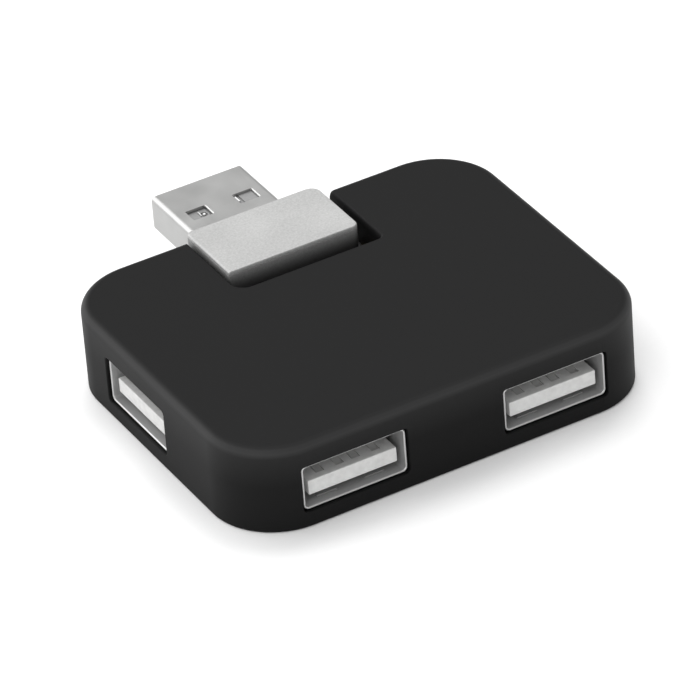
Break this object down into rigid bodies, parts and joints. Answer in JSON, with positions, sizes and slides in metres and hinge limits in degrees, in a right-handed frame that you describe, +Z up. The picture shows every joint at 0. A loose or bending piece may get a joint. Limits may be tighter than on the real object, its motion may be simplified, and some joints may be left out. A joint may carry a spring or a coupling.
{
  "type": "usb hub",
  "caption": "Flat rounded matt black USB hub with sockets on its front and sides and a silver plug on a hinged arm that folds under into its base.",
  "frame": {"origin": "on the plane the hub stands on, under the middle of its box with the plug out", "axes": "+Z up, +Y the way the plug points when it is out, +X to the right seen from the two front ports"},
  "size_m": [0.053, 0.0542, 0.0114],
  "materials": {
    "black_plastic": "fine matt charcoal black, soft-touch coat",
    "silver_paint": "silver metallic paint with a fine sandy grain",
    "plated_steel": "nickel-plated sheet steel",
    "tinned_steel": "tin-plated sheet steel",
    "grey_plastic": "mid-grey moulded nylon",
    "steel": "zinc-plated steel",
    "brass": "plain turned brass",
    "nickel_contact": "nickel-plated spring bronze",
    "white_plastic": "off-white moulded nylon",
    "board_green": "green solder mask on glass-epoxy board",
    "chip_black": "black epoxy",
    "ceramic_tan": "tan ceramic chip",
    "lead_grey": "grey soft PVC jacket",
    "wire_red": "red PVC insulation",
    "wire_white": "white PVC insulation",
    "wire_green": "green PVC insulation",
    "wire_black": "black PVC insulation"
  },
  "bodies": {
    "hub": {"upper_housing": "black_plastic", "lower_cover": "black_plastic", "cover_screw_1": "steel", "cover_screw_2": "steel", "cover_screw_3": "steel", "cover_screw_4": "steel", "front_left_port_shell": "tinned_steel", "front_left_port_insulator": "white_plastic", "front_left_port_contact_1": "nickel_contact", "front_left_port_contact_2": "nickel_contact", "front_left_port_contact_3": "nickel_contact", "front_left_port_contact_4": "nickel_contact", "front_right_port_shell": "tinned_steel", "front_right_port_insulator": "white_plastic", "front_right_port_contact_1": "nickel_contact", "front_right_port_contact_2": "nickel_contact", "front_right_port_contact_3": "nickel_contact", "front_right_port_contact_4": "nickel_contact", "left_port_shell": "tinned_steel", "left_port_insulator": "white_plastic", "left_port_contact_1": "nickel_contact", "left_port_contact_2": "nickel_contact", "left_port_contact_3": "nickel_contact", "left_port_contact_4": "nickel_contact", "right_port_shell": "tinned_steel", "right_port_insulator": "white_plastic", "right_port_contact_1": "nickel_contact", "right_port_contact_2": "nickel_contact", "right_port_contact_3": "nickel_contact", "right_port_contact_4": "nickel_contact", "circuit_board": "board_green", "hub_controller": "chip_black", "crystal": "plated_steel", "bulk_capacitor": "ceramic_tan", "capacitor_1": "ceramic_tan", "capacitor_2": "ceramic_tan", "capacitor_3": "ceramic_tan", "hinge_pin": "steel", "hinge_tube": "brass", "friction_washer": "steel", "hinge_lead": "lead_grey", "board_wire_1": "wire_red", "board_wire_2": "wire_white", "board_wire_3": "wire_green", "board_wire_4": "wire_black"},
    "plug_arm": {"arm_cap": "silver_paint", "arm_base": "silver_paint", "plug_shell": "plated_steel", "plug_insulator": "grey_plastic", "plug_contact_1": "nickel_contact", "plug_contact_2": "nickel_contact", "plug_contact_3": "nickel_contact", "plug_contact_4": "nickel_contact", "arm_wire_1": "wire_red", "arm_wire_2": "wire_white", "arm_wire_3": "wire_green", "arm_wire_4": "wire_black"}
  },
  "joints": [
    {"name": "plug_fold", "type": "hinge", "parent": "hub", "child": "plug_arm", "pos_m": [0, 0.0085, 0.0058], "axis": [-1, 0, 0], "range_deg": [0, 180]}
  ]
}
